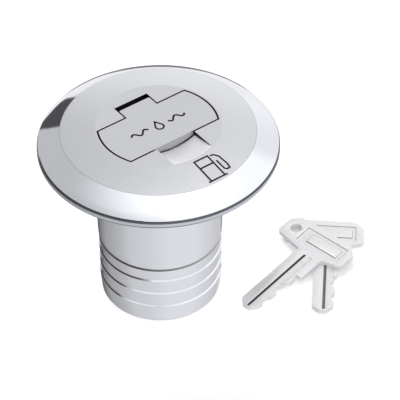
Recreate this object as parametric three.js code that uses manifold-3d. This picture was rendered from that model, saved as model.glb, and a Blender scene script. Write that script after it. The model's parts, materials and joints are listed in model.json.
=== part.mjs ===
// Lockable deck fuel filler with its two keys.
// Millimetres, +Z up. The origin is on the neck axis, at the underside of the flange (the deck plane).
// +X runs along the long side of the flip-up handle, +Y points to the handle's hinge.
import * as THREE from 'three';
import { mergeVertices } from 'three/addons/utils/BufferGeometryUtils.js';
import Module from 'manifold-3d';

const wasm = await Module();
wasm.setup();

// ---------------------------------------------------------------- driving dimensions

// Flange and neck casting
const FLANGE_R = 49;
const RECESS_R = 39.5;
const RECESS_FLOOR = 3.2;
const BEVEL_TOP = 9.59;
const NECK_R = 26.1;
const NECK_BORE_R = 23.2;
const NECK_END = -74.2;
const THROAT_R = 20.5;
const LEDGE_Z = -20.1;
const SCREW_CIRCLE_R = 31;

// Cap
const CAP_R = 39.2;
const CAP_UNDER = 3.5;
const CAP_FACE = 11.72;
const CAP_FACE_R = 25.4;
const SKIRT_R = 20.2;
const SKIRT_INNER_R = 15;
const SKIRT_LOWER_INNER_R = 16.5;
const SKIRT_STEP = -18.2;
const SKIRT_END = -29.2;
const POCKET_FLOOR = 7.5;

// Flip-up handle: a plate with round ends and a hinge tab, and the pocket it lies in
const PLATE_HALF = 11.1;
const PLATE_END_R = 24;
const PLATE_UNDER = 8.7;
const TAB_HALF = 7.45;
const TAB_END = 16.5;
const POCKET_HALF = 11.8;
const POCKET_END_R = 24.75;
const TAB_POCKET_HALF = 7.95;
const TAB_POCKET_END = 19.1;
const TAB_POCKET_FLOOR = 5;
const HINGE_Y = 14.2;
const HINGE_Z = 9;
const HINGE_RELIEF_R = 3.95;
const SCOOP_HALF = 9.3;
const SCOOP_R = 25;
const ENGRAVE = 0.4;

// Lock
const BARREL_R = 9;
const BARREL_HEAD_R = 11;
const BARREL_TOP = 7.2;
const BARREL_END = -18.5;
const PLUG_R = 6.8;
const PLUG_END = -18.3;
const KEYWAY_HALF_WIDTH = 1.25;
const KEYWAY_HALF_HEIGHT = 5;
const WAFER_HEIGHTS = [2.4, -1.4, -5.2, -9, -12.8];
const BOSS_Y = 13.6;

// Bolts and their cam
const BOLT_TOP = -20.5;
const BOLT_UNDER = -23.4;
const BOLT_HALF = 4;
const BOLT_END_X = 19.9;
const BOLT_PIN_X = 8.2;
const BOLT_TRAVEL = 2.8;
const CAM_R = 13.4;
const CAM_TOP = -23.8;
const CAM_UNDER = -25.9;

// Keys
const KEY_THICK = 2;
const KEY_BOW_LENGTH = 35;
const KEY_BOW_DEPTH = 15.3;
const KEY_BLADE_LENGTH = 40;

// ---------------------------------------------------------------- solids

// Welds a geometry's corners, drops the triangles that collapse, and turns its faces outward.
function solid(geometry) {
  const bare = geometry.clone();
  for (const name of Object.keys(bare.attributes)) {
    if (name !== 'position') bare.deleteAttribute(name);
  }
  const welded = mergeVertices(bare, 1e-4);
  const p = welded.attributes.position;
  const a = new THREE.Vector3();
  const b = new THREE.Vector3();
  const c = new THREE.Vector3();
  const triangles = [];
  let volume = 0;
  for (let i = 0; i < welded.index.count; i += 3) {
    const [u, v, w] = [0, 1, 2].map((k) => welded.index.getX(i + k));
    if (u === v || v === w || w === u) continue;
    a.fromBufferAttribute(p, u);
    b.fromBufferAttribute(p, v);
    c.fromBufferAttribute(p, w);
    volume += a.dot(b.clone().cross(c));
    triangles.push([u, v, w]);
  }
  const faces = volume < 0 ? triangles.map(([u, v, w]) => [u, w, v]) : triangles;
  return new wasm.Manifold(new wasm.Mesh({
    numProp: 3,
    vertProperties: new Float32Array(p.array),
    triVerts: new Uint32Array(faces.flat()),
  }));
}

function geometryOf(body) {
  const mesh = body.getMesh();
  const geometry = new THREE.BufferGeometry();
  geometry.setAttribute('position', new THREE.BufferAttribute(new Float32Array(mesh.vertProperties), 3));
  geometry.setIndex(new THREE.BufferAttribute(new Uint32Array(mesh.triVerts), 1));
  return geometry;
}

// A profile of [radius, height] points turned about Z. Rings close on themselves.
function turned(profile, segments = 64) {
  const points = profile.map(([r, z]) => new THREE.Vector2(r, z));
  const onAxis = profile[0][0] === 0 && profile[profile.length - 1][0] === 0;
  if (!onAxis) points.push(points[0].clone());
  return solid(new THREE.LatheGeometry(points, segments).rotateX(Math.PI / 2));
}

const ring = (inner, outer, z0, z1, segments = 64) =>
  turned([[inner, z0], [outer, z0], [outer, z1], [inner, z1]], segments);

const disc = (r, z0, z1, segments = 64) => turned([[0, z0], [r, z0], [r, z1], [0, z1]], segments);

const discAt = (x, y, r, z0, z1, segments = 24) => disc(r, z0, z1, segments).translate([x, y, 0]);

function box(x0, x1, y0, y1, z0, z1) {
  const geometry = new THREE.BoxGeometry(x1 - x0, y1 - y0, z1 - z0);
  return solid(geometry.translate((x0 + x1) / 2, (y0 + y1) / 2, (z0 + z1) / 2));
}

// A cylinder along X about the handle's hinge line.
function onHinge(r, x0, x1, segments = 32) {
  const geometry = new THREE.CylinderGeometry(r, r, x1 - x0, segments).rotateZ(Math.PI / 2);
  return solid(geometry.translate((x0 + x1) / 2, HINGE_Y, HINGE_Z));
}

function extruded(shape, z0, z1, curveSegments = 12) {
  const geometry = new THREE.ExtrudeGeometry(shape, { depth: z1 - z0, bevelEnabled: false, curveSegments });
  return solid(geometry.translate(0, 0, z0));
}

const shapeOf = (points) => new THREE.Shape(points.map(([x, y]) => new THREE.Vector2(x, y)));

// The two sides of a stroke about a centreline, half the stroke's width away from it.
function strokeSides(points, width) {
  return [1, -1].map((sign) => points.map(([x, y], i) => {
    const prev = points[Math.max(i - 1, 0)];
    const next = points[Math.min(i + 1, points.length - 1)];
    const d0 = new THREE.Vector2(x - prev[0], y - prev[1]);
    const d1 = new THREE.Vector2(next[0] - x, next[1] - y);
    if (d0.lengthSq() === 0) d0.copy(d1);
    if (d1.lengthSq() === 0) d1.copy(d0);
    d0.normalize();
    d1.normalize();
    const m = d0.clone().add(d1).normalize();
    const scale = width / 2 / Math.max(m.dot(d0), 0.4);
    return [x - sign * m.y * scale, y + sign * m.x * scale];
  }));
}

// A stroke with square ends, as a solid between two heights.
function stroke(points, width, z0, z1) {
  const [left, right] = strokeSides(points, width);
  return extruded(shapeOf([...left, ...right.reverse()]), z0, z1);
}

// The outline of a plate with two straight sides at y = +-half and ends that are arcs about the axis.
function butterfly(half, endR, steps = 12) {
  const a = Math.asin(half / endR);
  const points = [];
  for (const turn of [0, Math.PI]) {
    for (let i = 0; i <= steps; i += 1) {
      const t = turn - a + (2 * a * i) / steps;
      points.push([endR * Math.cos(t), endR * Math.sin(t)]);
    }
  }
  return shapeOf(points);
}

const rectangle = (x0, x1, y0, y1) => shapeOf([[x0, y0], [x1, y0], [x1, y1], [x0, y1]]);

// ---------------------------------------------------------------- deck flange with its neck

function deckFlange() {
  const barbs = [];
  for (const z of [-65.2, -57.9, -50.6]) {
    barbs.push([25.95, z - 0.28], [25.3, z + 0.28]);
  }
  const body = turned([
    [NECK_BORE_R, NECK_END], [25, NECK_END], [25.35, NECK_END + 0.5],
    ...barbs,
    [25.95, -44.96], [25.35, -44.18], [25.35, -43.75], [25.95, -43.3], [NECK_R, -41.2],
    [NECK_R, -1.2], [27.6, 0],
    [47, 0], [48, 0.27], [48.73, 1], [FLANGE_R, 2],
    [FLANGE_R, 2.95], [48.85, 3.55], [48.4, 4.15], [46.4, 5.57],
    [RECESS_R + 0.1, BEVEL_TOP - 0.02], [RECESS_R, BEVEL_TOP - 0.1], [RECESS_R, RECESS_FLOOR],
    [THROAT_R + 0.6, RECESS_FLOOR], [THROAT_R, RECESS_FLOOR - 0.6],
    [THROAT_R, LEDGE_Z], [NECK_BORE_R, LEDGE_Z],
  ], 60);
  const holes = [45, 135, 225, 315].map((degrees) => {
    const a = THREE.MathUtils.degToRad(degrees);
    const hole = turned([[0, -1], [2.6, -1], [2.6, 0.9], [4.9, RECESS_FLOOR], [4.9, 6], [0, 6]], 16);
    return hole.translate([SCREW_CIRCLE_R * Math.cos(a), SCREW_CIRCLE_R * Math.sin(a), 0]);
  });
  return holes.reduce((left, hole) => left.subtract(hole), body);
}

// ---------------------------------------------------------------- cap

// The finger scoop in front of the handle: steepest under the plate's edge, fading out at its far arc.
function scoop() {
  const nx = 8;
  const ny = 6;
  const lid = CAP_FACE + 2;
  const nearY = -10.6;
  const positions = [];
  for (let layer = 0; layer < 2; layer += 1) {
    for (let i = 0; i <= nx; i += 1) {
      const x = SCOOP_HALF * ((2 * i) / nx - 1);
      const far = -Math.sqrt(SCOOP_R ** 2 - x ** 2);
      const depth = 3.8 - 1.7 * (x / SCOOP_HALF) ** 2;
      for (let j = 0; j <= ny; j += 1) {
        const t = j / ny;
        const floor = CAP_FACE - depth * (1 - t ** 1.5) + 0.02 * t;
        positions.push(x, nearY + (far - nearY) * t, layer === 0 ? floor : lid);
      }
    }
  }
  const at = (layer, i, j) => (layer * (nx + 1) + i) * (ny + 1) + j;
  const index = [];
  const quad = (a, b, c, d) => index.push(a, b, c, a, c, d);
  for (let i = 0; i < nx; i += 1) {
    for (let j = 0; j < ny; j += 1) {
      quad(at(0, i, j), at(0, i + 1, j), at(0, i + 1, j + 1), at(0, i, j + 1));
      quad(at(1, i, j), at(1, i, j + 1), at(1, i + 1, j + 1), at(1, i + 1, j));
    }
    quad(at(0, i, 0), at(1, i, 0), at(1, i + 1, 0), at(0, i + 1, 0));
    quad(at(0, i, ny), at(0, i + 1, ny), at(1, i + 1, ny), at(1, i, ny));
  }
  for (let j = 0; j < ny; j += 1) {
    quad(at(0, 0, j), at(0, 0, j + 1), at(1, 0, j + 1), at(1, 0, j));
    quad(at(0, nx, j), at(1, nx, j), at(1, nx, j + 1), at(0, nx, j + 1));
  }
  const geometry = new THREE.BufferGeometry();
  geometry.setAttribute('position', new THREE.BufferAttribute(new Float32Array(positions), 3));
  geometry.setIndex(index);
  return solid(geometry);
}

// A plain pump symbol: a body with a window, a foot line and a hose loop on its right.
const PUMP_STROKES = [
  [[-2.1, -37.7], [-2.1, -26.6], [4.4, -26.6], [4.4, -37.7]],
  [[-1.7, -30.6], [4, -30.6]],
  [[-3.4, -38], [5.7, -38]],
  [[5.4, -27], [7, -27.3], [8.3, -29], [8.8, -33.6], [8.5, -35.8], [7.2, -36], [6.3, -35.2], [6.1, -30.2]],
];

// Two wave strokes on either side of a drop, engraved in the middle of the handle.
const WAVE = Array.from({ length: 13 }, (_, i) => [-13 + (8.2 * i) / 12, 1.1 * Math.sin((i * Math.PI) / 4)]);

// A drop's outline: a round bottom of the given radius, with straight sides up to its tip.
function drop(r, tip) {
  const open = Math.acos(r / tip);
  const points = [[0, tip - 1]];
  for (let i = 0; i <= 16; i += 1) {
    const t = Math.PI / 2 - open - ((2 * Math.PI - 2 * open) * i) / 16;
    points.push([r * Math.cos(t), r * Math.sin(t) - 1]);
  }
  return shapeOf(points);
}

function capSymbol() {
  const drop = ENGRAVE / Math.cos(Math.atan2(CAP_FACE - BEVEL_TOP, CAP_R - CAP_FACE_R));
  const above = turned([
    [0, CAP_FACE - drop], [CAP_FACE_R, CAP_FACE - drop], [CAP_R, BEVEL_TOP - drop], [CAP_R, 14], [0, 14],
  ], 60);
  const strokes = PUMP_STROKES.map((points) => stroke(points, 0.78, 5, 13));
  return strokes.reduce((a, b) => a.add(b)).intersect(above);
}

function capBody() {
  const body = turned([
    [0, CAP_UNDER], [SKIRT_INNER_R, CAP_UNDER],
    [SKIRT_INNER_R, SKIRT_STEP], [SKIRT_LOWER_INNER_R, SKIRT_STEP],
    [SKIRT_LOWER_INNER_R, SKIRT_END], [SKIRT_R - 0.5, SKIRT_END], [SKIRT_R, SKIRT_END + 0.5],
    [SKIRT_R, -3.4], [18.5, -3.4], [18.5, -0.6], [SKIRT_R, -0.6],
    [SKIRT_R, CAP_UNDER], [CAP_R - 0.2, CAP_UNDER], [CAP_R, CAP_UNDER + 0.2],
    [CAP_R, BEVEL_TOP - 0.2], [CAP_R - 0.2, BEVEL_TOP + 0.02], [CAP_FACE_R + 1, CAP_FACE - 0.17],
    [CAP_FACE_R, CAP_FACE], [0, CAP_FACE],
  ], 60);
  const bosses = [-1, 1].map((s) => discAt(0, s * BOSS_Y, 2.2, SKIRT_STEP, -3)
    .add(box(-2.2, 2.2, Math.min(s * BOSS_Y, s * 15.6), Math.max(s * BOSS_Y, s * 15.6), SKIRT_STEP, -3)));
  const cuts = [
    extruded(butterfly(POCKET_HALF, POCKET_END_R), POCKET_FLOOR, 14),
    box(-TAB_POCKET_HALF, TAB_POCKET_HALF, 9.6, TAB_POCKET_END, TAB_POCKET_FLOOR, 14),
    scoop(),
    onHinge(1.35, -12.6, 12.6, 20),
    disc(BARREL_HEAD_R + 0.3, 6, 9, 40),
    disc(BARREL_R + 0.3, 0, 9, 32),
    capSymbol(),
    ...[-1, 1].map((s) => discAt(0, s * BOSS_Y, 1.2, -19, -11, 16)),
    box(-21, -15.5, -BOLT_HALF - 0.3, BOLT_HALF + 0.3, BOLT_UNDER - 0.3, BOLT_TOP + 0.3),
    box(15.5, 21, -BOLT_HALF - 0.3, BOLT_HALF + 0.3, BOLT_UNDER - 0.3, BOLT_TOP + 0.3),
    ...COVER_SCREWS.map(([x, y]) => discAt(x, y, 1.1, SKIRT_END - 1, SKIRT_END + 5.5, 10)),
  ];
  return cuts.reduce((left, cut) => left.subtract(cut), bosses.reduce((a, b) => a.add(b), body));
}

const COVER_SCREWS = [90, 210, 330].map((degrees) => {
  const a = THREE.MathUtils.degToRad(degrees);
  return [18.3 * Math.cos(a), 18.3 * Math.sin(a)];
});

// The O-ring that seals the cap's skirt in the throat.
function capRing() {
  const profile = Array.from({ length: 8 }, (_, i) => {
    const t = (2 * Math.PI * i) / 8;
    return [19.45 + 0.88 * Math.cos(t), -2 + 0.88 * Math.sin(t)];
  });
  return turned(profile, 32);
}

// ---------------------------------------------------------------- flip-up handle

function flipHandle() {
  const wide = extruded(butterfly(PLATE_HALF, PLATE_END_R), PLATE_UNDER, CAP_FACE)
    .subtract(onHinge(HINGE_RELIEF_R, -26, 26, 48));
  const tab = extruded(rectangle(-TAB_HALF, TAB_HALF, 9.9, TAB_END), PLATE_UNDER, CAP_FACE);
  const knuckle = onHinge(2.1, -TAB_HALF, TAB_HALF, 32);
  const web = box(-TAB_HALF, TAB_HALF, 12.1, 16.3, HINGE_Z - 0.6, PLATE_UNDER + 1);
  const grip = box(-9, 9, -PLATE_HALF - 0.3, -PLATE_HALF + 1.5, PLATE_UNDER - 0.9, CAP_FACE - 0.7);
  const symbols = [-1, 1].map((s) => {
    const wave = WAVE.map(([x, y]) => [s * x, s * y]);
    return stroke(wave, 0.9, CAP_FACE - ENGRAVE, 14);
  });
  symbols.push(extruded(drop(2.1, 4.3), CAP_FACE - ENGRAVE, 14).subtract(extruded(drop(1.3, 2.7), 0, 20)));
  const whole = wide.add(tab).add(knuckle).add(web).add(grip).subtract(onHinge(1.3, -9, 9, 20));
  return symbols.reduce((left, cut) => left.subtract(cut), whole);
}

// ---------------------------------------------------------------- lock

function lockBarrel() {
  return turned([
    [PLUG_R + 0.3, BARREL_END], [BARREL_R - 0.4, BARREL_END], [BARREL_R, BARREL_END + 0.4], [BARREL_R, 6.3],
    [BARREL_HEAD_R, 6.3], [BARREL_HEAD_R, BARREL_TOP - 0.3], [BARREL_HEAD_R - 0.3, BARREL_TOP],
    [8.3, BARREL_TOP], [8.3, 5.7], [PLUG_R + 0.3, 5.7],
  ], 32);
}

function lockPlug() {
  const body = turned([
    [0, -27.4], [1.6, -27.4], [1.6, CAM_TOP], [2.5, CAM_TOP],
    [2.5, PLUG_END], [PLUG_R, PLUG_END], [PLUG_R, 6],
    [8, 6], [8, BARREL_TOP - 0.4], [7.7, BARREL_TOP - 0.1], [0, BARREL_TOP - 0.1],
  ], 32);
  const drive = box(-1.7, 1.7, -1.7, 1.7, -26.2, CAM_TOP + 0.5);
  const cuts = [
    box(-KEYWAY_HALF_WIDTH, KEYWAY_HALF_WIDTH, -KEYWAY_HALF_HEIGHT, KEYWAY_HALF_HEIGHT, -17, 9),
    discAt(0, 0, 0.9, -30, -19.4, 16),
    box(-5, 5, -5, 5, -30, -26.2),
    ...WAFER_HEIGHTS.map((z) => box(-3.3, 3.3, -8, 8, z - 0.8, z + 0.8)),
  ];
  return cuts.reduce((left, cut) => left.subtract(cut), body.add(drive));
}

const wafer = () => box(-3, 3, -5.9, 5.9, -0.5, 0.5).subtract(box(-1.4, 1.4, -4.95, 4.95, -1, 1));

function barrelNut() {
  const hexagon = shapeOf(Array.from({ length: 6 }, (_, i) => {
    const a = (i * Math.PI) / 3;
    return [12.7 * Math.cos(a), 12.7 * Math.sin(a)];
  }));
  return extruded(hexagon, -1.2, 2.3).subtract(disc(BARREL_R + 0.3, -4, 4, 32));
}

const barrelWasher = () => ring(BARREL_R + 0.3, 12.6, 2.5, 3.2, 32);

function guidePlate() {
  const plate = ring(2.8, 16.2, -20.2, -18.8, 32);
  const holes = [-1, 1].map((s) => discAt(0, s * BOSS_Y, 1.3, -22, -17, 16));
  return holes.reduce((left, hole) => left.subtract(hole), plate);
}

// A pan-head screw pointing up from the origin, which is under its head. The slot is a crossed recess.
function screw(headR, headH, shankR, length) {
  const body = turned([
    [0, -headH], [headR - 0.4, -headH], [headR, -headH + 0.5], [headR, 0], [shankR, 0],
    [shankR, length], [0, length],
  ], 12);
  const bar = headR * 0.62;
  const cross = box(-bar, bar, -0.25, 0.25, -headH - 1, -headH + 0.6)
    .add(box(-0.25, 0.25, -bar, bar, -headH - 1, -headH + 0.6));
  return body.subtract(cross);
}

function lockBolt() {
  const plate = extruded(shapeOf([
    [3.6, -BOLT_HALF], [BOLT_END_X - 1.2, -BOLT_HALF], [BOLT_END_X, -BOLT_HALF + 1.2],
    [BOLT_END_X, BOLT_HALF - 1.2], [BOLT_END_X - 1.2, BOLT_HALF], [3.6, BOLT_HALF],
  ]), BOLT_UNDER, BOLT_TOP);
  return plate.subtract(discAt(BOLT_PIN_X, 0, 1.5, BOLT_UNDER - 1, BOLT_TOP - 0.6, 20));
}

const boltPin = () => discAt(BOLT_PIN_X, 0, 1.2, CAM_UNDER + 0.3, BOLT_TOP - 0.9, 20);

// A spiral slot: its centreline's radius grows evenly with the angle, by one bolt travel in a quarter turn.
function spiralSlot(start) {
  const points = [];
  for (let i = 0; i <= 10; i += 1) {
    const turn = -4 + (98 * i) / 10;
    const r = BOLT_PIN_X + (BOLT_TRAVEL * turn) / 90;
    const a = start - THREE.MathUtils.degToRad(turn);
    points.push([r * Math.cos(a), r * Math.sin(a)]);
  }
  const ends = [points[0], points[points.length - 1]];
  const round = ends.map(([x, y]) => discAt(x, y, 1.55, CAM_UNDER - 1, CAM_TOP + 1, 20));
  return round.reduce((a, b) => a.add(b), stroke(points, 3.1, CAM_UNDER - 1, CAM_TOP + 1));
}

function driveCam() {
  return disc(CAM_R, CAM_UNDER, CAM_TOP - 0.1, 40)
    .subtract(box(-2, 2, -2, 2, -30, -20))
    .subtract(spiralSlot(0))
    .subtract(spiralSlot(Math.PI));
}

const camWasher = () => ring(1.3, 4.6, -27, -26.5, 20);

function bottomCover() {
  const plate = turned([
    [0, SKIRT_END - 1.6], [19.4, SKIRT_END - 1.6],
    [20, SKIRT_END - 1], [20, SKIRT_END - 0.3], [0, SKIRT_END - 0.3],
  ], 40);
  return COVER_SCREWS.reduce((left, [x, y]) => left.subtract(discAt(x, y, 1.3, -40, -20, 12)), plate);
}

// ---------------------------------------------------------------- keys

// A flat key. Its origin is in the middle of the shoulder, on the underside; the blade points to -X.
function flatKey() {
  const half = KEY_BOW_LENGTH / 2;
  const depth = KEY_BOW_DEPTH;
  const outline = shapeOf([
    [0, 3.5], [2.4, half - 1], [3.4, half], [depth - 4, half], [depth, half - 4], [depth, -half + 4],
    [depth - 4, -half], [3.4, -half], [2.4, -half + 1], [0, -8.7],
    [-12.4, -8.7], [-13, -8.1], [-13, -6], [-14, -5.8],
    [-14.6, -6.6], [-18.4, -6.6], [-19.6, -5.3], [-21.6, -5.3],
    [-23, -4], [-24.6, -4], [-26.2, -5.8], [-29.4, -5.8], [-30.8, -4.3], [-33.6, -4.3], [-34.8, -5.6],
    [-37, -5], [-KEY_BLADE_LENGTH, -2.4], [-KEY_BLADE_LENGTH, 0.5], [-37.4, 3.5],
  ]);
  const top = KEY_THICK;
  const island = box(5.4, depth - 5, -12.4, 3.4, 0, top + 1);
  const panel = box(3.4, depth - 3, -14.2, 7.8, top - 0.35, top + 1).subtract(island);
  return extruded(outline, 0, KEY_THICK)
    .subtract(discAt(8.4, 12, 2.5, -1, top + 1, 24))
    .subtract(panel)
    .subtract(box(-39.3, -1.5, -1.9, -0.7, top - 0.8, top + 1))
    .subtract(box(-21, -1.5, -5.2, -3.2, top - 0.4, top + 1));
}

// ---------------------------------------------------------------- materials and the assembled object

const metal = (color, roughness) => new THREE.MeshStandardMaterial({ color, roughness, metalness: 1 });
const steel = () => metal(0xced1d4, 0.14);
const plainSteel = () => metal(0xb9bcc0, 0.32);
const nickel = () => metal(0xd9dadb, 0.24);
const brass = () => metal(0xc9a45c, 0.34);
const rubber = () => new THREE.MeshStandardMaterial({ color: 0x17181a, roughness: 0.75, metalness: 0 });

function named(name, body, material) {
  const mesh = new THREE.Mesh(geometryOf(body), material);
  mesh.name = name;
  return mesh;
}

const filler = new THREE.Group();
filler.add(named('deck_flange', deckFlange(), steel()));

const cap = new THREE.Group();
filler.add(cap);
cap.add(named('cap_o_ring', capRing(), rubber()));
cap.add(named('cap_body', capBody(), steel()));
cap.add(named('flip_handle', flipHandle(), steel()));
cap.add(named('hinge_pin', onHinge(1, -12.3, 12.3, 20), plainSteel()));

const lock = new THREE.Group();
cap.add(lock);
lock.add(named('lock_barrel', lockBarrel(), nickel()));
lock.add(named('lock_plug', lockPlug(), nickel()));
WAFER_HEIGHTS.forEach((z, i) => {
  const piece = named(`lock_wafer_${i + 1}`, wafer(), brass());
  piece.position.z = z;
  lock.add(piece);
});
lock.add(named('barrel_washer', barrelWasher(), plainSteel()));
lock.add(named('barrel_nut', barrelNut(), plainSteel()));
lock.add(named('guide_plate', guidePlate(), plainSteel()));
[-1, 1].forEach((s, i) => {
  const piece = named(`guide_screw_${i + 1}`, screw(2.3, 1.4, 0.9, 7.5), plainSteel());
  piece.position.set(0, s * BOSS_Y, -20.5);
  lock.add(piece);
});
['a', 'b'].forEach((side, i) => {
  const pair = new THREE.Group();
  pair.rotation.z = i * Math.PI;
  pair.add(named(`lock_bolt_${side}`, lockBolt(), plainSteel()));
  pair.add(named(`bolt_pin_${side}`, boltPin(), plainSteel()));
  lock.add(pair);
});
lock.add(named('drive_cam', driveCam(), plainSteel()));
lock.add(named('cam_washer', camWasher(), plainSteel()));
const camScrew = named('cam_screw', screw(2.2, 1.3, 0.6, 6.2), plainSteel());
camScrew.position.z = -27.2;
lock.add(camScrew);
lock.add(named('bottom_cover', bottomCover(), plainSteel()));
COVER_SCREWS.forEach(([x, y], i) => {
  const piece = named(`cover_screw_${i + 1}`, screw(1.9, 1.1, 0.8, 6), plainSteel());
  piece.position.set(x, y, SKIRT_END - 1.9);
  lock.add(piece);
});

// Both keys lie on the surface that the neck stands on; the front one leans on the other's blade.
const KEY_LEAN = Math.asin(2.35 / 36);
const frontKey = named('key_1', flatKey(), nickel());
const frontPlace = new THREE.Group();
frontPlace.position.set(56.9, -27.9, NECK_END);
frontPlace.rotation.z = THREE.MathUtils.degToRad(10.9);
frontKey.position.z = KEY_BLADE_LENGTH * Math.sin(KEY_LEAN);
frontKey.rotation.y = -KEY_LEAN;
frontPlace.add(frontKey);
filler.add(frontPlace);

const backKey = named('key_2', flatKey(), nickel());
backKey.position.set(67.7, -27.4, NECK_END);
backKey.rotation.z = THREE.MathUtils.degToRad(48.3);
filler.add(backKey);

export default filler;
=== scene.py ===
# Deck fuel filler: looks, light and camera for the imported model.
import json
import math

import bmesh
import bpy
from mathutils import Matrix, Vector

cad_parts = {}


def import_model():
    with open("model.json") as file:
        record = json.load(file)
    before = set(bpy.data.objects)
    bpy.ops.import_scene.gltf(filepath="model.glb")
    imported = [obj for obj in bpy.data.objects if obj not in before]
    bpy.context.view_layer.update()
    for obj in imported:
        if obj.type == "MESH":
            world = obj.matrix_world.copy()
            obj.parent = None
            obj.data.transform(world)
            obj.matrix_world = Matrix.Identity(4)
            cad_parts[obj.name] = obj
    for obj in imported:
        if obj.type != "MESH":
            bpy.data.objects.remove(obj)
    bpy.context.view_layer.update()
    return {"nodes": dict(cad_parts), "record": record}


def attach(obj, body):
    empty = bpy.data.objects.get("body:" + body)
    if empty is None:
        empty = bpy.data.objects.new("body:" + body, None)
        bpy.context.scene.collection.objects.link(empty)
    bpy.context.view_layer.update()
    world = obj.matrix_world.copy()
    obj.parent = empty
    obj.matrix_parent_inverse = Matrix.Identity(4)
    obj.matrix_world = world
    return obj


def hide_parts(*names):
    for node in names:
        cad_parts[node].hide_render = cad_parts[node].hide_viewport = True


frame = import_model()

# Lengths are in millimetres until a mesh or an object is made. Z is 0 at the deck.
MM = 0.001
TOP = 14

# Flange and hose neck
FLANGE_R = 49
BEVEL_TOP = 9.59
RECESS_R = 39.5
RECESS_FLOOR = 3.2
THROAT_R = 20.5
LEDGE_Z = -20.1
NECK_R = 26.1
NECK_BORE_R = 23.2
NECK_END = -74.2
BARB_R = 25.95
BARB_ROOT_R = 25.3
DECK_SCREW_CIRCLE_R = 31

# Cap
CAP_R = 39.45
CAP_UNDER = 3.5
CAP_FACE = 11.72
CAP_FACE_R = 25.4
SKIRT_R = 20.2
SKIRT_STEP = -18.2
SKIRT_END = -29.2
BOSS_Y = 13.6
SCOOP_HALF = 9.3
SCOOP_R = 25
ENGRAVE = 0.4
SYMBOL_DEPTH = 0.35

# Flip-up handle, its pocket and its hinge
PLATE_HALF = 11.1
PLATE_END_R = 24
PLATE_UNDER = 8.7
POCKET_HALF = 11.85
POCKET_END_R = 24.8
POCKET_FLOOR = 7.5
TAB_HALF = 7.45
TAB_END = 16.5
TAB_POCKET_HALF = 8.1
TAB_POCKET_END = 19.1
TAB_POCKET_FLOOR = 5
HINGE_Y = 14.2
HINGE_Z = 9.0

# Keys: where the shoulder of each lies, and which way its bow points. The front one leans on the back one.
KEY_BLADE = 40
KEY_REST_HEIGHT = 2.35
KEY_REST_FROM_TIP = 36
KEY_LEAN = math.asin(KEY_REST_HEIGHT / KEY_REST_FROM_TIP)
FRONT_KEY = (56.9, -27.9, math.radians(10.9))
BACK_KEY = (67.7, -27.4, math.radians(48.3))


# ------------------------------------------------------------------ mesh helpers (millimetres in, metres out)

def make_object(name, bm):
    bmesh.ops.recalc_face_normals(bm, faces=bm.faces)
    mesh = bpy.data.meshes.new(name)
    bm.to_mesh(mesh)
    bm.free()
    obj = bpy.data.objects.new(name, mesh)
    bpy.context.scene.collection.objects.link(obj)
    return obj


def filleted(points, steps=4):
    """A profile whose corners given as (r, z, radius) are rounded with an arc."""
    out = []
    n = len(points)
    for i, p in enumerate(points):
        here = Vector(p[:2])
        radius = p[2] if len(p) > 2 else 0
        if not radius:
            out.append(here)
            continue
        before = (Vector(points[i - 1][:2]) - here).normalized()
        after = (Vector(points[(i + 1) % n][:2]) - here).normalized()
        half = before.angle(after) / 2
        along = radius / math.tan(half)
        start, end = here + before * along, here + after * along
        middle = here + (before + after).normalized() * (radius / math.sin(half))
        a0 = math.atan2(start.y - middle.y, start.x - middle.x)
        a1 = math.atan2(end.y - middle.y, end.x - middle.x)
        turn = (a1 - a0 + math.pi) % (2 * math.pi) - math.pi
        for k in range(steps + 1):
            a = a0 + turn * k / steps
            out.append(middle + Vector((math.cos(a), math.sin(a))) * radius)
    return out


def revolved(name, profile, segments=160, steps=4):
    """A profile turned about Z. It closes on itself, or starts and ends on the axis."""
    points = filleted(profile, steps)
    bm = bmesh.new()

    def column(a):
        places = [(p.x * math.cos(a) * MM, p.x * math.sin(a) * MM, p.y * MM) for p in points]
        return [None if p.x < 1e-9 else bm.verts.new(place) for p, place in zip(points, places)]

    columns = [column(2 * math.pi * s / segments) for s in range(segments)]
    poles = [bm.verts.new((0, 0, p.y * MM)) if p.x < 1e-9 else None for p in points]
    count = len(points)
    on_axis = poles[0] is not None
    for s in range(segments):
        one, two = columns[s], columns[(s + 1) % segments]
        for i in range(count - 1 if on_axis else count):
            j = (i + 1) % count
            corners = [one[i] or poles[i], two[i] or poles[i], two[j] or poles[j], one[j] or poles[j]]
            unique = list(dict.fromkeys(corners))
            if len(unique) > 2:
                bm.faces.new(unique)
    return make_object(name, bm)


def prism(name, outline, z0, z1):
    bm = bmesh.new()
    low = [bm.verts.new((x * MM, y * MM, z0 * MM)) for x, y in outline]
    high = [bm.verts.new((x * MM, y * MM, z1 * MM)) for x, y in outline]
    bm.faces.new(low)
    bm.faces.new(high)
    n = len(outline)
    for i in range(n):
        j = (i + 1) % n
        bm.faces.new((low[i], low[j], high[j], high[i]))
    return make_object(name, bm)


def circle(x, y, r, segments=32):
    turns = [2 * math.pi * k / segments for k in range(segments)]
    return [(x + r * math.cos(a), y + r * math.sin(a)) for a in turns]


def rod_x(name, x0, x1, y, z, r, segments=48):
    """A cylinder along X."""
    obj = prism(name, circle(y, z, r, segments), x0, x1)
    z_to_x = Matrix(((0, 0, 1, 0), (1, 0, 0, 0), (0, 1, 0, 0), (0, 0, 0, 1)))
    obj.data.transform(z_to_x)
    return obj


def rectangle(x0, x1, y0, y1):
    return [(x0, y0), (x1, y0), (x1, y1), (x0, y1)]


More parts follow.
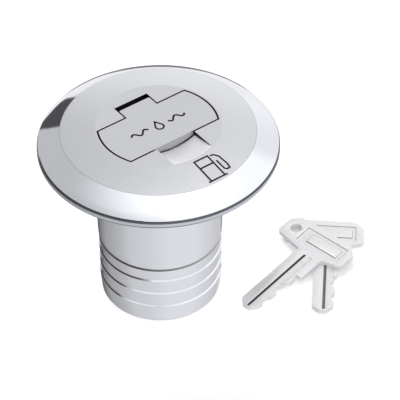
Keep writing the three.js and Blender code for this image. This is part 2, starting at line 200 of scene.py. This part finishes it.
def with_boolean(target, tool, operation):
    modifier = target.modifiers.new("boolean", "BOOLEAN")
    modifier.operation = operation
    modifier.solver = "EXACT"
    modifier.object = tool
    evaluated = target.evaluated_get(bpy.context.evaluated_depsgraph_get())
    mesh = bpy.data.meshes.new_from_object(evaluated)
    target.modifiers.clear()
    old = target.data
    target.data = mesh
    mesh.name = target.name
    bpy.data.meshes.remove(old)
    gone = tool.data
    bpy.data.objects.remove(tool)
    bpy.data.meshes.remove(gone)
    return target


def cut(target, *tools):
    for tool in tools:
        with_boolean(target, tool, "DIFFERENCE")
    return target


def join(target, *tools):
    for tool in tools:
        with_boolean(target, tool, "UNION")
    return target


def soften(obj, width, angle=32):
    """Smooth shading inside each face group and a small rounded edge between them."""
    mesh = obj.data
    mesh.polygons.foreach_set("use_smooth", [True] * len(mesh.polygons))
    mesh.set_sharp_from_angle(angle=math.radians(angle))
    weld = obj.modifiers.new("weld", "WELD")
    weld.merge_threshold = 2e-6
    bevel = obj.modifiers.new("edge", "BEVEL")
    bevel.width = width * MM
    bevel.segments = 2
    bevel.limit_method = "ANGLE"
    bevel.angle_limit = math.radians(angle)
    bevel.harden_normals = True
    bevel.use_clamp_overlap = True
    bevel.miter_outer = "MITER_ARC"
    return obj


def butterfly(half, end_r, steps=40):
    """Two arcs about the middle, at -X and +X, joined by straight sides at y = half and -half."""
    a = math.asin(half / end_r)
    out = []
    for turn in (0, math.pi):
        for i in range(steps + 1):
            t = turn - a + 2 * a * i / steps
            out.append((end_r * math.cos(t), end_r * math.sin(t)))
    return out


def stroke(name, points, width, z0, z1):
    """A line of even width along the points, as a solid."""
    sides = ([], [])
    for i, here in enumerate(points):
        here = Vector(here)
        before = Vector(points[max(i - 1, 0)])
        after = Vector(points[min(i + 1, len(points) - 1)])
        d0 = (here - before if i else after - here).normalized()
        d1 = (after - here if i + 1 < len(points) else d0).normalized()
        middle = (d0 + d1).normalized()
        across = Vector((-middle.y, middle.x)) * (width / 2 / max(middle.dot(d0), 0.4))
        sides[0].append(tuple(here + across))
        sides[1].append(tuple(here - across))
    return prism(name, sides[0] + sides[1][::-1], z0, z1)


# ------------------------------------------------------------------ pieces

def dress(obj, body, node, material):
    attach(obj, body)
    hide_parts(node)
    obj.data.materials.clear()
    obj.data.materials.append(material)
    return obj


def refinish(obj, material, test):
    """One more material, on the faces whose centre and normal pass the test."""
    obj.data.materials.append(material)
    index = len(obj.data.materials) - 1
    for face in obj.data.polygons:
        if test(face.center / MM, face.normal):
            face.material_index = index
    return obj


def radius_of(c):
    return math.hypot(c.x, c.y)


def cap_surface(r):
    """Height of the cap's face at a radius: flat in the middle, sloping to the bevel."""
    return CAP_FACE - max(r - CAP_FACE_R, 0) * (CAP_FACE - BEVEL_TOP) / (CAP_R - CAP_FACE_R)


def scoop_floor(c, n):
    inside = abs(c.x) < SCOOP_HALF - 0.01 and c.y < -11.8 and radius_of(c) < SCOOP_R
    return inside and n.z > 0.7 and 0.02 < CAP_FACE - c.z < 4


def cap_recess_painted_shade(c, n):
    """The engraved pump, the sides of the scoop, and the walls of the pocket: faces painted near-black as
    shade.
    """
    r = radius_of(c)
    below = cap_surface(r) - c.z
    if r > CAP_R - 0.65 or c.z < 4.9 or below < 0.08:
        return False
    if c.y < -25.2:
        return -4 < c.x < 10 and below < 0.8
    if c.y < -11.6:
        return abs(n.x) > 0.7
    return abs(n.z) < 0.5


# The rim's lower round, painted darker and bluer as a dark reflection.
def rim_edge_painted_reflection(c, n):
    return radius_of(c) > 47.2 and c.z < 2.9


# Two near-black bands painted as shadow lines: just under the rim's top edge and at its foot.
def rim_painted_shadow_lines(c, n):
    upper_line = radius_of(c) > 48.3 and 2.9 < c.z < 4.05
    lower_line = radius_of(c) > 47 and c.z < 1.3
    return upper_line or lower_line


# The plate's front lip over the scoop, painted darker as shade.
def plate_lip_painted_shade(c, n):
    return c.y < 0.1 - PLATE_HALF and n.y < -0.7


def plate_engraving_painted_shade(c, n):
    """The engraved drop and waves, painted near-black as shade."""
    return abs(c.y) < 4 and abs(c.x) < 14 and 0.02 < CAP_FACE - c.z < ENGRAVE + 0.2


def build_flange():
    """Flange with a rounded rim and crowned bevel, over a hose neck with three barbs and a groove."""
    barbs = []
    for z, flare in ((-65.2, 0.33), (-57.9, 0.31), (-50.6, 0.28)):
        barbs += [(BARB_R, z - flare, 0.2), (BARB_ROOT_R, z + 0.28, 0.12)]
    groove = [
        (BARB_R, -44.96, 0.2), (BARB_ROOT_R + 0.05, -44.18, 0.1),
        (BARB_ROOT_R + 0.05, -43.75, 0.12), (BARB_R, -43.3, 0.2),
    ]
    profile = [
        (NECK_BORE_R, NECK_END, 0.3), (BARB_ROOT_R, NECK_END, 0.6),
        *barbs, *groove,
        (NECK_R, -41.2, 0.9), (NECK_R, 0, 1.1),
        (FLANGE_R, 0, 2), (FLANGE_R, 3.74, 1.4), (46.4, 5.57, 25),
        (RECESS_R, BEVEL_TOP, 0.06), (RECESS_R, RECESS_FLOOR, 0.4),
        (THROAT_R, RECESS_FLOOR, 0.6), (THROAT_R, LEDGE_Z, 0.3), (NECK_BORE_R, LEDGE_Z, 0.3),
    ]
    flange = revolved("filler_flange", profile, 192, 8)
    countersunk = [(0, -1), (2.6, -1), (2.6, 0.9), (4.9, RECESS_FLOOR), (4.9, 6), (0, 6)]
    for k in range(4):
        a = math.radians(45 + 90 * k)
        x, y = DECK_SCREW_CIRCLE_R * math.cos(a), DECK_SCREW_CIRCLE_R * math.sin(a)
        hole = revolved("hole", countersunk, 32)
        hole.data.transform(Matrix.Translation((x * MM, y * MM, 0)))
        cut(flange, hole)
    return soften(flange, 0.12, 34)


def scoop_tool():
    """The finger scoop in front of the handle, as a solid to cut with."""
    nx, ny, near = 28, 22, 0.5 - PLATE_HALF
    bm = bmesh.new()
    grid = {}
    for i in range(nx + 1):
        x = SCOOP_HALF * (2 * i / nx - 1)
        far = -math.sqrt(SCOOP_R ** 2 - x * x)
        depth = 3.8 - 1.7 * (x / SCOOP_HALF) ** 2
        for j in range(ny + 1):
            t = j / ny
            y = near + (far - near) * t
            floor = CAP_FACE - depth * (1 - t ** 1.5) + 0.02 * t
            grid[0, i, j] = bm.verts.new((x * MM, y * MM, floor * MM))
            grid[1, i, j] = bm.verts.new((x * MM, y * MM, TOP * MM))
    for layer in (0, 1):
        for i in range(nx):
            for j in range(ny):
                corners = ((i, j), (i + 1, j), (i + 1, j + 1), (i, j + 1))
                bm.faces.new([grid[layer, a, b] for a, b in corners])
    for i in range(nx):
        for j in (0, ny):
            bm.faces.new([grid[0, i, j], grid[0, i + 1, j], grid[1, i + 1, j], grid[1, i, j]])
    for j in range(ny):
        for i in (0, nx):
            bm.faces.new([grid[0, i, j], grid[0, i, j + 1], grid[1, i, j + 1], grid[1, i, j]])
    return make_object("scoop", bm)


# The fuel pump symbol: cabinet, window sill, base, and the hose with its nozzle
PUMP = [
    [(-2.1, -37.7), (-2.1, -26.6), (4.4, -26.6), (4.4, -37.7)],
    [(-1.7, -30.6), (4, -30.6)],
    [(-3.4, -38), (5.7, -38)],
    [(5.4, -27), (7, -27.3), (8.3, -29), (8.8, -33.6), (8.5, -35.8), (7.2, -36), (6.3, -35.2), (6.1, -30.2)],
]
PUMP_LINE = 0.78


def pump_tools():
    """The pump's lines, as solids that end at an even depth under the cap's sloping face."""
    floor, floor_at_edge = CAP_FACE - SYMBOL_DEPTH, BEVEL_TOP - SYMBOL_DEPTH
    profile = [(0, floor), (CAP_FACE_R, floor), (CAP_R, floor_at_edge), (CAP_R, TOP + 1), (0, TOP + 1)]
    tools = []
    for points in PUMP:
        line = stroke("symbol", points, PUMP_LINE, 5, TOP)
        above = revolved("above", profile, 96)
        tools.append(with_boolean(line, above, "INTERSECT"))
    return tools


def build_cap():
    seal_groove = [(SKIRT_R, -3.4, 0.2), (18.5, -3.4, 0.2), (18.5, -0.6, 0.2), (SKIRT_R, -0.6, 0.2)]
    profile = [
        (0, CAP_UNDER), (15, CAP_UNDER, 0.5), (15, SKIRT_STEP, 0.2), (16.5, SKIRT_STEP, 0.2),
        (16.5, SKIRT_END, 0.2), (SKIRT_R, SKIRT_END, 0.5),
        *seal_groove,
        (SKIRT_R, CAP_UNDER, 0.5), (39.2, CAP_UNDER, 0.3), (39.2, 8.2),
        (CAP_R, 8.6), (CAP_R, BEVEL_TOP, 0.06), (CAP_FACE_R, CAP_FACE, 4), (0, CAP_FACE),
    ]
    cap = revolved("cap_disc", profile, 192, 6)
    for s in (-1, 1):
        join(cap, prism("boss", circle(0, s * BOSS_Y, 2.2), SKIRT_STEP, -3))
    symbols = pump_tools()
    tab_pocket = rectangle(-TAB_POCKET_HALF, TAB_POCKET_HALF, 9.6, TAB_POCKET_END)
    cover_screws = [
        circle(18.3 * math.cos(math.radians(a)), 18.3 * math.sin(math.radians(a)), 1.1, 20)
        for a in (90, 210, 330)
    ]
    cut(
        cap,
        prism("pocket", butterfly(POCKET_HALF, POCKET_END_R), POCKET_FLOOR, TOP),
        prism("tab_pocket", tab_pocket, TAB_POCKET_FLOOR, TOP),
        scoop_tool(),
        rod_x("pin_bore", -12.6, 12.6, HINGE_Y, HINGE_Z, 1.35),
        prism("counterbore", circle(0, 0, 11.3, 96), 6, 9),
        prism("barrel_hole", circle(0, 0, 9.3, 96), 0, 9),
        *symbols,
        prism("window_a", rectangle(-21, -15.5, -4.3, 4.3), -23.7, -20.2),
        prism("window_b", rectangle(15.5, 21, -4.3, 4.3), -23.7, -20.2),
        *[prism("screw_hole", circle(0, s * BOSS_Y, 1.2, 20), -19, -11) for s in (-1, 1)],
        *[prism("cover_hole", outline, -30, -23.7) for outline in cover_screws],
    )
    return soften(cap, 0.14, 30)


def drop_outline(r, tip):
    """A circle with a pointed top, its circle's centre 1 mm toward -Y."""
    opening = math.acos(r / tip)
    outline = [(0, tip - 1)]
    for i in range(37):
        t = math.pi / 2 - opening - (2 * math.pi - 2 * opening) * i / 36
        outline.append((r * math.cos(t), r * math.sin(t) - 1))
    return outline


def engraving_tools():
    """A wave on each side of a drop, in outline."""
    floor = CAP_FACE - ENGRAVE
    wave = [(-13 + 8.2 * i / 32, 1.1 * math.sin(3 * math.pi * i / 32)) for i in range(33)]
    waves = [stroke("wave", [(s * x, s * y) for x, y in wave], 0.9, floor, TOP) for s in (-1, 1)]
    drop = prism("drop", drop_outline(2.1, 4.3), floor, TOP)
    drop_core = prism("drop_core", drop_outline(1.3, 2.7), 0, 20)
    return [*waves, cut(drop, drop_core)]


def build_handle():
    plate = cut(
        prism("flip_plate", butterfly(PLATE_HALF, PLATE_END_R), PLATE_UNDER, CAP_FACE),
        rod_x("relief", -26, 26, HINGE_Y, HINGE_Z, 3.95, 96),
    )
    right_side = [
        (TAB_HALF, 9.9), (TAB_HALF, TAB_END - 0.5),
        (TAB_HALF - 0.15, TAB_END - 0.15), (TAB_HALF - 0.5, TAB_END),
    ]
    tab = [(-TAB_HALF, 9.9), *right_side, *[(-x, y) for x, y in right_side[:0:-1]]]
    join(
        plate,
        prism("tab", tab, PLATE_UNDER, CAP_FACE),
        rod_x("knuckle", -TAB_HALF, TAB_HALF, HINGE_Y, HINGE_Z, 2.1),
        prism("web", rectangle(-TAB_HALF, TAB_HALF, 12.1, 16.3), HINGE_Z - 0.6, 9.7),
        prism("grip", rectangle(-9, 9, -11.4, -9.6), 7.8, 11.02),
    )
    cut(plate, rod_x("pin_hole", -9, 9, HINGE_Y, HINGE_Z, 1.3), *engraving_tools())
    return soften(plate, 0.16, 30)


# ------------------------------------------------------------------ materials

class Graph:
    """Short names for the nodes of one tree."""

    def __init__(self, tree):
        self.nodes, self.links = tree.nodes, tree.links

    def put(self, socket, value):
        if isinstance(value, (int, float, tuple)):
            socket.default_value = value
        else:
            self.links.new(value, socket)

    def add(self, kind, **values):
        """A node with its settings and inputs; an underscore stands for the space in an input's name."""
        node = self.nodes.new("ShaderNode" + kind)
        for key, value in values.items():
            name = key.replace("_", " ")
            if name in node.inputs:
                self.put(node.inputs[name], value)
            else:
                setattr(node, key, value)
        return node

    def math(self, operation, *values):
        node = self.add("Math", operation=operation)
        for socket, value in zip(node.inputs, values):
            self.put(socket, value)
        return node.outputs[0]

    def both(self, *values):
        """The product of any number of levels."""
        out = values[0]
        for value in values[1:]:
            out = self.math("MULTIPLY", out, value)
        return out

    def dot(self, vector, axis):
        node = self.add("VectorMath", operation="DOT_PRODUCT")
        self.put(node.inputs[0], vector)
        self.put(node.inputs[1], tuple(axis))
        return node.outputs["Value"]

    def length(self, vector):
        node = self.add("VectorMath", operation="LENGTH")
        self.put(node.inputs[0], vector)
        return node.outputs["Value"]

    def ramp(self, value, low, high, at_low=0.0, at_high=1.0, **settings):
        node = self.add("MapRange", Value=value, From_Min=low, From_Max=high, **settings)
        node.inputs["To Min"].default_value = at_low
        node.inputs["To Max"].default_value = at_high
        return node.outputs["Result"]

    def step(self, value, low, high):
        """0 before low, 1 past high, smooth between; low may be above high."""
        ends = (0.0, 1.0) if low < high else (1.0, 0.0)
        return self.ramp(value, min(low, high), max(low, high), *ends, interpolation_type="SMOOTHSTEP")

    def window(self, value, low, high, soft):
        return self.both(self.step(value, low - soft, low), self.step(value, high + soft, high))

    def mix(self, factor, a, b):
        return self.add("Mix", Factor=factor, A=a, B=b).outputs["Result"]

    def curve(self, bearing, stops, low=0.0, high=1.0):
        """Linear between (degrees, value) stops, for values between low and high."""
        node = self.add("ValToRGB", Fac=self.math("DIVIDE", bearing, 360.0))
        ramp = node.color_ramp
        for degrees, value in stops[1:-1]:
            ramp.elements.new(degrees / 360)
        for element, (degrees, value) in zip(ramp.elements, stops):
            level = (value - low) / (high - low)
            element.position = degrees / 360
            element.color = (level, level, level, 1)
        return self.math("MULTIPLY_ADD", node.outputs["Color"], high - low, low)

    def noise(self, vector, scale, detail, roughness=0.5):
        node = self.add("TexNoise", Vector=vector, Scale=scale, Detail=detail, Roughness=roughness)
        return node.outputs["Fac"]

    def bump(self, height, strength, distance):
        return self.add("Bump", Height=height, Strength=strength, Distance=distance).outputs["Normal"]


def new_material(name, color, metallic, roughness):
    material = bpy.data.materials.new(name)
    material.use_nodes = True
    g = Graph(material.node_tree)
    shader = g.nodes["Principled BSDF"]
    shader.inputs["Base Color"].default_value = (*color, 1)
    shader.inputs["Metallic"].default_value = metallic
    shader.inputs["Roughness"].default_value = roughness
    return material, g, shader


def steel(name, color, roughness, spread, turned=0.0, grain=900.0, smudge=0.5, metallic=1.0):
    """Polished metal: turning lines round Z if it was turned, soft cloudy wear, and tiny pits."""
    material, g, shader = new_material(name, color, metallic, roughness)
    place = g.add("TexCoord").outputs["Object"]
    cloud = g.noise(place, 55.0, 4.0, 0.6)
    fine = g.noise(place, grain, 2.0)
    rough = g.ramp(cloud, 0.3, 0.7, max(roughness - spread, 0.02), roughness + spread)
    g.put(shader.inputs["Roughness"], rough)
    tint = g.ramp(fine, 0.25, 0.75, 1 - 0.06 * smudge, 1.0)
    tinted = g.add("VectorMath", operation="SCALE", Scale=tint)
    g.put(tinted.inputs[0], color)
    g.put(shader.inputs["Base Color"], tinted.outputs["Vector"])
    height = fine
    if turned:
        split = g.add("SeparateXYZ", Vector=place).outputs
        radius = g.length(g.add("CombineXYZ", X=split["X"], Y=split["Y"]).outputs["Vector"])
        lines = g.add("CombineXYZ", X=radius, Y=split["Z"]).outputs["Vector"]
        height = g.math("MULTIPLY_ADD", g.noise(lines, 2600.0, 2.0, 0.6), turned, fine)
    g.put(shader.inputs["Normal"], g.bump(height, 0.12, 0.00001))
    return material


def rubber(name):
    material, g, shader = new_material(name, (0.012, 0.012, 0.013), 0.0, 0.55)
    grain = g.noise(g.add("TexCoord").outputs["Object"], 1400.0, 3.0)
    g.put(shader.inputs["Normal"], g.bump(grain, 0.25, 0.00003))
    g.put(shader.inputs["Roughness"], g.ramp(grain, 0.0, 1.0, 0.42, 0.68))
    return material


def key_metal(name, place, lean, groove_shade):
    """Bead-blasted nickel, with painted shade in a key's groove, round its sunk panel and round the panel's
    island.

    The key's own x runs from the blade's shoulder into the bow, y across it, and height from its lower face.
    """
    material = steel(name, (0.84, 0.84, 0.845), 0.34, 0.06, grain=1500.0, smudge=3.0, metallic=0.45)
    g = Graph(material.node_tree)
    shader = g.nodes["Principled BSDF"]
    x_mm, y_mm, turn = place
    origin = Vector((x_mm, y_mm, NECK_END + KEY_BLADE * math.sin(lean)))
    x_axis = Vector((math.cos(lean) * math.cos(turn), math.cos(lean) * math.sin(turn), math.sin(lean)))
    y_axis = Vector((-math.sin(turn), math.cos(turn), 0))
    at = g.add("TexCoord").outputs["Object"]
    axes = (x_axis, y_axis, x_axis.cross(y_axis))
    x, y, height = [g.math("SUBTRACT", g.dot(at, axis / MM), origin.dot(axis)) for axis in axes]

    def box(x0, x1, y0, y1, soft):
        return g.both(g.window(x, x0, x1, soft), g.window(y, y0, y1, soft))

    def outline(x0, x1, y0, y1):
        line, soft = 0.3, 0.04
        inner = box(x0 + line, x1 - line, y0 + line, y1 - line, soft)
        return g.both(g.math("SUBTRACT", box(x0, x1, y0, y1, soft), inner), g.step(height, 1.96, 1.9))

    # Painted shade: the groove, the outlines of the panel and of its island, and, darkest, the island's side
    # nearest the blade.
    groove = g.both(box(0.6 - KEY_BLADE, -1.4, -1.95, -0.65, 0.05), g.step(height, 1.8, 1.5))
    panel = outline(3.4, 12.3, -14.2, 7.8)
    island = outline(5.1, 10.6, -12.7, 3.7)
    island_shaded_side = g.both(island, g.step(x, 5.5, 5.4))
    colour = shader.inputs["Base Color"].links[0].from_socket
    for painted_shade, shade in ((groove, groove_shade), (panel, 0.42), (island, 0.45), (island_shaded_side, 0.12)):
        mix = g.add("Mix", data_type="RGBA")
        unshaded_colour, shade_colour = mix.inputs[6], mix.inputs[7]
        g.put(mix.inputs["Factor"], painted_shade)
        g.put(unshaded_colour, colour)
        g.put(shade_colour, (shade, shade, shade, 1))
        colour = mix.outputs[2]
    g.put(shader.inputs["Base Color"], colour)
    return material


mirror = steel("mirror_steel", (0.82, 0.83, 0.86), 0.07, 0.02, turned=1.0)
satin = steel("cap_steel", (0.78, 0.785, 0.8), 0.24, 0.03, turned=1.5)
handle_steel = steel("handle_steel", (0.76, 0.765, 0.78), 0.22, 0.03)
plain = steel("plain_steel", (0.62, 0.63, 0.65), 0.3, 0.06)
lock_nickel = steel("lock_nickel", (0.78, 0.775, 0.76), 0.2, 0.04, turned=1.0)
brass = steel("wafer_brass", (0.76, 0.6, 0.3), 0.28, 0.05)
seal = rubber("seal_rubber")
scoop_steel = steel("scoop_steel", (0.78, 0.785, 0.8), 0.34, 0.03, metallic=0.5)
# Near-black steel: painted shade for the pocket walls, the scoop's sides and the engraved symbols.
painted_shade_steel = steel("recess_painted_shade_steel", (0.055, 0.055, 0.06), 0.45, 0.08)
# A darker copy of the handle's steel: painted shade for the plate's front lip.
lip_painted_shade_steel = steel("lip_painted_shade_steel", (0.46, 0.465, 0.48), 0.3, 0.05)
# Darker and bluer than the flange's mirror steel: a painted dark reflection on the rim's lower round.
rim_painted_reflection_steel = steel("rim_painted_reflection_steel", (0.63, 0.655, 0.7), 0.1, 0.02, turned=1.0)
# Near-black steel for the painted shadow lines round the rim.
rim_painted_shadow_line_steel = steel("rim_painted_shadow_line_steel", (0.13, 0.135, 0.15), 0.2, 0.03, turned=1.0)

flange = dress(build_flange(), "filler", "deck_flange", mirror)
# The rim's lower round gets a painted dark reflection, and two painted shadow lines: under the rim's top edge
# and at its foot.
refinish(refinish(flange, rim_painted_reflection_steel, rim_edge_painted_reflection), rim_painted_shadow_line_steel, rim_painted_shadow_lines)
cap = dress(build_cap(), "cap", "cap_body", satin)
# The cap's pocket walls, scoop sides and engraved pump get painted shade; the scoop's floor gets its own
# steel.
refinish(refinish(cap, painted_shade_steel, cap_recess_painted_shade), scoop_steel, scoop_floor)
flap = dress(build_handle(), "handle", "flip_handle", handle_steel)
# Painted shade on the handle: near-black in the engraved drop and waves, a darker steel on the front lip.
refinish(refinish(flap, painted_shade_steel, plate_engraving_painted_shade), lip_painted_shade_steel, plate_lip_painted_shade)

BY_SLOT = {
    "mirror_steel": mirror, "cap_steel": satin, "handle_steel": handle_steel, "plain_steel": plain,
    "lock_nickel": lock_nickel, "wafer_brass": brass, "seal_rubber": seal,
}
# The last number is the painted shade in each key's groove, darker on the front key than on the back one.
BY_NODE = {
    "key_1": key_metal("front_key_nickel", FRONT_KEY, KEY_LEAN, 0.03),
    "key_2": key_metal("back_key_nickel", BACK_KEY, 0, 0.16),
}
slot_of = {row["node"]: row["material_slot"] for row in frame["record"]["subparts"]}
for name, obj in frame["nodes"].items():
    obj.data.materials.clear()
    obj.data.materials.append(BY_NODE[name] if name in BY_NODE else BY_SLOT[slot_of[name]])
    if not obj.hide_render:
        soften(obj, 0.12, 30)
for name in BY_NODE:
    frame["nodes"][name].visible_glossy = False


# ------------------------------------------------------------------ floor, light and camera

AZIMUTH, ELEVATION = math.radians(-35.5), math.radians(40.66)
BACK = Vector((
    math.sin(AZIMUTH) * math.cos(ELEVATION), -math.cos(AZIMUTH) * math.cos(ELEVATION), math.sin(ELEVATION),
))
RIGHT = Vector((math.cos(AZIMUTH), math.sin(AZIMUTH), 0))
AWAY = Vector((0, 0, 1)).cross(RIGHT)
UP = BACK.cross(RIGHT)
DISTANCE = 0.7686
SENSOR = 36
LENS = 171.27
# The camera aims this far from the flange's middle, in metres, so that the keys are in the picture too.
AIM_RIGHT = 0.016317
AIM_DOWN = 0.021568


def floor():
    """A white floor that glows faintly near the neck, where the flange keeps the light off it."""
    bm = bmesh.new()
    half = 3
    z = NECK_END * MM - 0.0001
    corners = ((-half, -half), (half, -half), (half, half), (-half, half))
    bm.faces.new([bm.verts.new((x, y, z)) for x, y in corners])
    obj = make_object("floor", bm)
    material, g, shader = new_material("floor", (0.87, 0.87, 0.875), 0.0, 0.6)
    shader.inputs["Specular IOR Level"].default_value = 0.2
    shader.inputs["Emission Color"].default_value = (1, 1, 1, 1)
    from_deck_centre = g.length(g.add("TexCoord").outputs["Object"])
    g.put(shader.inputs["Emission Strength"], g.ramp(from_deck_centre, 0.085, 0.108, 0.38, 0.1))
    obj.data.materials.append(material)
    obj.visible_glossy = False


def area_light(name, location, target, size, power):
    data = bpy.data.lights.new(name, "AREA")
    data.shape = "RECTANGLE"
    data.size, data.size_y = size
    data.energy = power
    obj = bpy.data.objects.new(name, data)
    obj.location = location
    obj.rotation_mode = "QUATERNION"
    obj.rotation_quaternion = (Vector(target) - Vector(location)).to_track_quat("-Z", "Y")
    obj.visible_glossy = False
    bpy.context.scene.collection.objects.link(obj)


# What polished metal mirrors, as (bearing, level) or (bearing, rise) stops. A bearing is in degrees from the
# camera's right: 90 is away from the camera and 270 is behind it. A rise is in degrees above the horizon.
BELOW_HORIZON = (
    (0, 0.80), (16, 0.75), (47, 0.64), (75, 0.75), (92, 0.45), (110, 0.13), (130, 0.26), (149, 0.41),
    (174, 0.49), (194, 0.58), (212, 0.69), (244, 0.75), (270, 0.82), (288, 0.87), (336, 0.87), (360, 0.80),
)
BARBS_MIRROR = (
    (0, 0), (140, 9), (150, 16), (165, 26), (180, 34), (204, 43), (236, 50), (270, 54), (302, 52), (331, 46),
    (354, 37), (360, 34),
)
DARK_ARC_TAPER = ((0, 0), (185, 0), (200, 3), (217, 6), (250, 8.5), (360, 9))
GROOVE_MIRRORS = (
    (0, 8), (28, -1), (133, -10), (151, 0), (171, 9.4), (193, 17.8), (217, 24.5), (243, 29), (270, 30.5),
    (297, 29), (323, 24.5), (347, 17.8), (360, 12),
)
GROOVE_LEVEL = ((0, 0.45), (60, 0.45), (100, 0.06), (225, 0.08), (270, 0.2), (300, 0.3), (360, 0.45))


def graded_surround(g, right, away, z, bearing):
    """Pale grey above, brighter to the right and behind the camera; graded by bearing below the horizon."""
    upper = g.mix(g.step(right, -0.6, 0.3), 0.6, 0.84)
    upper = g.math("ADD", upper, g.both(g.step(right, 0.3, 0.6), 0.12))
    high = g.ramp(z, 0.68, 0.97)
    upper = g.math("ADD", upper, g.both(high, high, g.step(away, 0.45, 0.2), 0.5))
    upper = g.math("ADD", upper, g.both(g.step(away, 0.62, 0.45), g.step(right, -0.05, 0.3), 0.22))
    upper = g.math("ADD", upper, g.both(g.step(z, 0.6, 0.3), g.window(right, -0.15, 0.35, 0.3), 0.2))
    lower = g.curve(bearing, BELOW_HORIZON)
    lower = g.mix(g.both(g.step(z, -0.5, -0.42), g.step(away, 0.4, 0.7)), lower, 1.0)
    return g.mix(g.step(z, -0.08, 0.02), lower, upper)


def barb_panels(g, level, bearing, rise):
    """What the barbs' upper faces mirror: a dark arc on the left that tapers off, and a white one past it."""
    off = g.math("SUBTRACT", rise, g.curve(bearing, BARBS_MIRROR, 0, 100))
    white = g.both(g.window(bearing, 190, 352, 8), g.window(off, -7, 7, 2))
    level = g.mix(white, level, 1.05)
    above_taper = g.math("SUBTRACT", off, g.curve(bearing, DARK_ARC_TAPER, 0, 100))
    dark = g.both(g.window(bearing, 144, 250, 5), g.step(above_taper, -11.2, -9.0), g.step(off, 8, 6))
    return g.mix(dark, level, 0.06)


def groove_panel(g, level, bearing, rise):
    """What the neck's first groove mirrors: a thin arc that is dark on the left and paler on the right."""
    off = g.math("SUBTRACT", rise, g.curve(bearing, GROOVE_MIRRORS, -20, 80))
    around = g.math("MAXIMUM", g.window(bearing, 144, 372, 6), g.window(bearing, -12, 40, 6))
    return g.mix(g.both(around, g.window(off, -4.5, 4.5, 1.5)), level, g.curve(bearing, GROOVE_LEVEL))


def mirrored_level(g):
    toward = g.add("TexCoord").outputs["Generated"]
    right, away, z = g.dot(toward, RIGHT), g.dot(toward, AWAY), g.dot(toward, (0, 0, 1))
    full_turn = 2 * math.pi
    angle = g.math("MODULO", g.math("ADD", g.math("ARCTAN2", away, right), full_turn), full_turn)
    bearing = g.both(angle, 360 / full_turn)
    rise = g.both(g.math("ARCSINE", z), 180 / math.pi)
    level = graded_surround(g, right, away, z, bearing)
    level = barb_panels(g, level, bearing, rise)
    level = groove_panel(g, level, bearing, rise)
    edge_of_neck = g.both(g.window(bearing, 62, 118, 6), g.window(z, -0.66, -0.53, 0.05))
    level = g.mix(edge_of_neck, level, 0.18)
    back_of_rim = g.both(g.window(bearing, 78, 102, 5), g.window(z, -0.6, -0.33, 0.05))
    level = g.mix(back_of_rim, level, 0.22)
    level = g.mix(g.step(z, -0.9, -0.96), level, 0.4)
    patch_on_bevel = g.both(g.window(bearing, 108.6, 122.8, 0.7), g.window(rise, -4, 21, 0.7))
    return g.mix(patch_on_bevel, level, 0.085)


def world():
    """A plain white studio, in which only mirrored rays see the graded surround and its panels."""
    scene = bpy.context.scene
    scene.view_settings.view_transform = "Standard"
    scene.world = bpy.data.worlds.new("studio")
    scene.world.use_nodes = True
    g = Graph(scene.world.node_tree)
    level = mirrored_level(g)
    cool = g.add("CombineColor", Red=level, Green=g.both(level, 1.003), Blue=g.both(level, 1.025))
    mirrored = g.add("Background", Color=cool.outputs[0])
    plain_white = g.nodes["Background"]
    plain_white.inputs["Color"].default_value = (1, 1, 1, 1)
    plain_white.inputs["Strength"].default_value = 1.06
    either = g.add("MixShader", Fac=g.add("LightPath").outputs["Is Glossy Ray"])
    g.put(either.inputs[1], plain_white.outputs[0])
    g.put(either.inputs[2], mirrored.outputs[0])
    g.put(g.nodes["World Output"].inputs["Surface"], either.outputs[0])


def camera():
    data = bpy.data.cameras.new("camera")
    data.sensor_width = SENSOR
    data.lens = LENS
    obj = bpy.data.objects.new("camera", data)
    obj.location = BACK * DISTANCE
    aim = RIGHT * AIM_RIGHT - UP * AIM_DOWN
    obj.rotation_mode = "QUATERNION"
    obj.rotation_quaternion = (aim - obj.location).to_track_quat("-Z", "Y")
    data.clip_start, data.clip_end = 0.01, 20
    bpy.context.scene.collection.objects.link(obj)
    bpy.context.scene.camera = obj


floor()
world()
camera()
area_light("key_light", (0.25, 0.5, 1.1), (0, 0, NECK_END * MM), (0.7, 0.5), 5)
